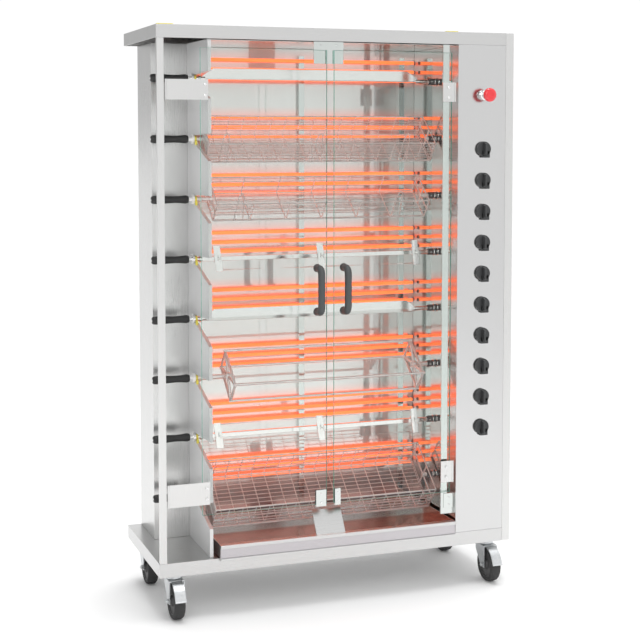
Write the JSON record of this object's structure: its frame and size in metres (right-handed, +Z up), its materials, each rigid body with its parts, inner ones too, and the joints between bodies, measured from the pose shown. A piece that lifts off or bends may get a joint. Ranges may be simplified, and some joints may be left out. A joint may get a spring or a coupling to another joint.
{
  "type": "rotisserie oven",
  "caption": "Free-standing upright rotisserie oven on casters with glass doors, stacked spits and racks, glowing rear heaters and a knob panel.",
  "frame": {"origin": "on the floor, under the middle of the oven's overall box", "axes": "+X to the oven's right as seen from the front, +Y towards its back, +Z up"},
  "size_m": [1.32, 0.5594, 2.012],
  "materials": {
    "stainless_brushed": "satin brushed stainless sheet",
    "stainless_polished": "bright polished stainless sheet",
    "spit_steel": "polished stainless bar and wire",
    "door_glass": "clear toughened glass with green edges",
    "handle_grey": "satin dark grey moulded",
    "black_plastic": "satin black heat-resistant moulding",
    "red_plastic": "glossy red",
    "heating_rod": "metal-sheathed heating rod at working heat",
    "chrome": "bright chrome",
    "zinc_plate": "bright zinc plated pressing",
    "wheel_rubber": "dark grey rubber tread"
  },
  "bodies": {
    "root": {"base_plinth": "stainless_brushed", "top_cover": "stainless_brushed", "rear_housing": "stainless_brushed", "right_housing": "stainless_brushed", "rear_cover": "stainless_brushed", "control_fascia": "stainless_brushed", "front_post_left": "stainless_brushed", "front_post_right": "stainless_polished", "oven_left_wall": "stainless_polished", "oven_right_wall": "stainless_polished", "oven_back_wall": "stainless_polished", "oven_ceiling": "stainless_polished", "heater_bank": "heating_rod", "catch_plate_top": "stainless_polished", "motor_rail": "zinc_plate", "estop_collar": "chrome"},
    "door_left": {"door_glass_left": "door_glass", "door_handle_left": "handle_grey", "hinge_leaf_lower_left": "stainless_brushed", "hinge_leaf_upper_left": "stainless_brushed"},
    "door_right": {"door_glass_right": "door_glass", "door_handle_right": "handle_grey", "hinge_leaf_lower_right": "stainless_brushed", "hinge_leaf_upper_right": "stainless_brushed"},
    "tray": {"drip_tray": "stainless_polished"},
    "stop_button": {"estop_button": "red_plastic"},
    "knob_1": {"knob_1": "black_plastic"},
    "knob_2": {"knob_2": "black_plastic"},
    "knob_3": {"knob_3": "black_plastic"},
    "knob_4": {"knob_4": "black_plastic"},
    "knob_5": {"knob_5": "black_plastic"},
    "knob_6": {"knob_6": "black_plastic"},
    "knob_7": {"knob_7": "black_plastic"},
    "knob_8": {"knob_8": "black_plastic"},
    "knob_9": {"knob_9": "black_plastic"},
    "knob_10": {"knob_10": "black_plastic"},
    "spit_1": {"spit_1": "spit_steel", "spit_handle_1": "black_plastic"},
    "spit_2": {"spit_2": "spit_steel", "spit_handle_2": "black_plastic"},
    "spit_3": {"spit_3": "spit_steel", "spit_handle_3": "black_plastic"},
    "spit_4": {"spit_4": "spit_steel", "spit_handle_4": "black_plastic"},
    "spit_5": {"spit_5": "spit_steel", "spit_handle_5": "black_plastic"},
    "spit_6": {"spit_6": "spit_steel", "spit_handle_6": "black_plastic"},
    "spit_7": {"spit_7": "spit_steel", "spit_handle_7": "black_plastic"},
    "spit_8": {"spit_8": "spit_steel", "spit_handle_8": "black_plastic"},
    "fork_front_left": {"caster_fork_front_left": "zinc_plate"},
    "wheel_front_left": {"caster_wheel_front_left": "wheel_rubber"},
    "fork_front_right": {"caster_fork_front_right": "zinc_plate"},
    "wheel_front_right": {"caster_wheel_front_right": "wheel_rubber"},
    "fork_rear_left": {"caster_fork_rear_left": "zinc_plate"},
    "wheel_rear_left": {"caster_wheel_rear_left": "wheel_rubber"},
    "fork_rear_right": {"caster_fork_rear_right": "zinc_plate"},
    "wheel_rear_right": {"caster_wheel_rear_right": "wheel_rubber"}
  },
  "joints": [
    {"name": "door_left_hinge", "type": "hinge", "parent": "root", "child": "door_left", "pos_m": [-0.628, -0.2255, 0.352], "axis": [0, 0, -1], "range_deg": [0, 110]},
    {"name": "door_right_hinge", "type": "hinge", "parent": "root", "child": "door_right", "pos_m": [0.427, -0.2255, 0.352], "axis": [0, 0, 1], "range_deg": [0, 110]},
    {"name": "tray_slide", "type": "slide", "parent": "root", "child": "tray", "axis": [0, -1, 0], "range_m": [0, 0.3]},
    {"name": "stop_press", "type": "slide", "parent": "root", "child": "stop_button", "axis": [0, 1, 0], "range_m": [0, 0.006]},
    {"name": "knob_1_turn", "type": "hinge", "parent": "root", "child": "knob_1", "pos_m": [0.539, -0.2255, 1.596], "axis": [0, 1, 0], "range_deg": [0, 270]},
    {"name": "knob_2_turn", "type": "hinge", "parent": "root", "child": "knob_2", "pos_m": [0.539, -0.2255, 1.4837], "axis": [0, 1, 0], "range_deg": [0, 270]},
    {"name": "knob_3_turn", "type": "hinge", "parent": "root", "child": "knob_3", "pos_m": [0.539, -0.2255, 1.3714], "axis": [0, 1, 0], "range_deg": [0, 270]},
    {"name": "knob_4_turn", "type": "hinge", "parent": "root", "child": "knob_4", "pos_m": [0.539, -0.2255, 1.2591], "axis": [0, 1, 0], "range_deg": [0, 270]},
    {"name": "knob_5_turn", "type": "hinge", "parent": "root", "child": "knob_5", "pos_m": [0.539, -0.2255, 1.1468], "axis": [0, 1, 0], "range_deg": [0, 270]},
    {"name": "knob_6_turn", "type": "hinge", "parent": "root", "child": "knob_6", "pos_m": [0.539, -0.2255, 1.0345], "axis": [0, 1, 0], "range_deg": [0, 270]},
    {"name": "knob_7_turn", "type": "hinge", "parent": "root", "child": "knob_7", "pos_m": [0.539, -0.2255, 0.9222], "axis": [0, 1, 0], "range_deg": [0, 270]},
    {"name": "knob_8_turn", "type": "hinge", "parent": "root", "child": "knob_8", "pos_m": [0.539, -0.2255, 0.8099], "axis": [0, 1, 0], "range_deg": [0, 270]},
    {"name": "knob_9_turn", "type": "hinge", "parent": "root", "child": "knob_9", "pos_m": [0.539, -0.2255, 0.6976], "axis": [0, 1, 0], "range_deg": [0, 270]},
    {"name": "knob_10_turn", "type": "hinge", "parent": "root", "child": "knob_10", "pos_m": [0.539, -0.2255, 0.5853], "axis": [0, 1, 0], "range_deg": [0, 270]},
    {"name": "spit_1_turn", "type": "hinge", "parent": "root", "child": "spit_1", "pos_m": [-0.48, -0.0255, 1.842], "axis": [1, 0, 0], "continuous": true},
    {"name": "spit_2_turn", "type": "hinge", "parent": "root", "child": "spit_2", "pos_m": [-0.48, -0.0255, 1.632], "axis": [1, 0, 0], "continuous": true},
    {"name": "spit_3_turn", "type": "hinge", "parent": "root", "child": "spit_3", "pos_m": [-0.48, -0.0255, 1.422], "axis": [1, 0, 0], "continuous": true},
    {"name": "spit_4_turn", "type": "hinge", "parent": "root", "child": "spit_4", "pos_m": [-0.48, -0.0255, 1.212], "axis": [1, 0, 0], "continuous": true},
    {"name": "spit_5_turn", "type": "hinge", "parent": "root", "child": "spit_5", "pos_m": [-0.48, -0.0255, 1.002], "axis": [1, 0, 0], "continuous": true},
    {"name": "spit_6_turn", "type": "hinge", "parent": "root", "child": "spit_6", "pos_m": [-0.48, -0.0255, 0.792], "axis": [1, 0, 0], "continuous": true},
    {"name": "spit_7_turn", "type": "hinge", "parent": "root", "child": "spit_7", "pos_m": [-0.48, -0.0255, 0.582], "axis": [1, 0, 0], "continuous": true},
    {"name": "spit_8_turn", "type": "hinge", "parent": "root", "child": "spit_8", "pos_m": [-0.48, -0.0255, 0.372], "axis": [1, 0, 0], "continuous": true},
    {"name": "swivel_front_left", "type": "hinge", "parent": "root", "child": "fork_front_left", "pos_m": [-0.598, -0.1655, 0.152], "axis": [0, 0, 1], "continuous": true},
    {"name": "roll_front_left", "type": "hinge", "parent": "fork_front_left", "child": "wheel_front_left", "pos_m": [-0.598, -0.2005, 0.0625], "axis": [1, 0, 0], "continuous": true},
    {"name": "swivel_front_right", "type": "hinge", "parent": "root", "child": "fork_front_right", "pos_m": [0.59, -0.1655, 0.152], "axis": [0, 0, 1], "continuous": true},
    {"name": "roll_front_right", "type": "hinge", "parent": "fork_front_right", "child": "wheel_front_right", "pos_m": [0.59, -0.2005, 0.0625], "axis": [1, 0, 0], "continuous": true},
    {"name": "swivel_rear_left", "type": "hinge", "parent": "root", "child": "fork_rear_left", "pos_m": [-0.598, 0.2295, 0.152], "axis": [0, 0, 1], "continuous": true},
    {"name": "roll_rear_left", "type": "hinge", "parent": "fork_rear_left", "child": "wheel_rear_left", "pos_m": [-0.598, 0.1945, 0.0625], "axis": [1, 0, 0], "continuous": true},
    {"name": "swivel_rear_right", "type": "hinge", "parent": "root", "child": "fork_rear_right", "pos_m": [0.59, 0.2295, 0.152], "axis": [0, 0, 1], "continuous": true},
    {"name": "roll_rear_right", "type": "hinge", "parent": "fork_rear_right", "child": "wheel_rear_right", "pos_m": [0.59, 0.1945, 0.0625], "axis": [1, 0, 0], "continuous": true}
  ]
}
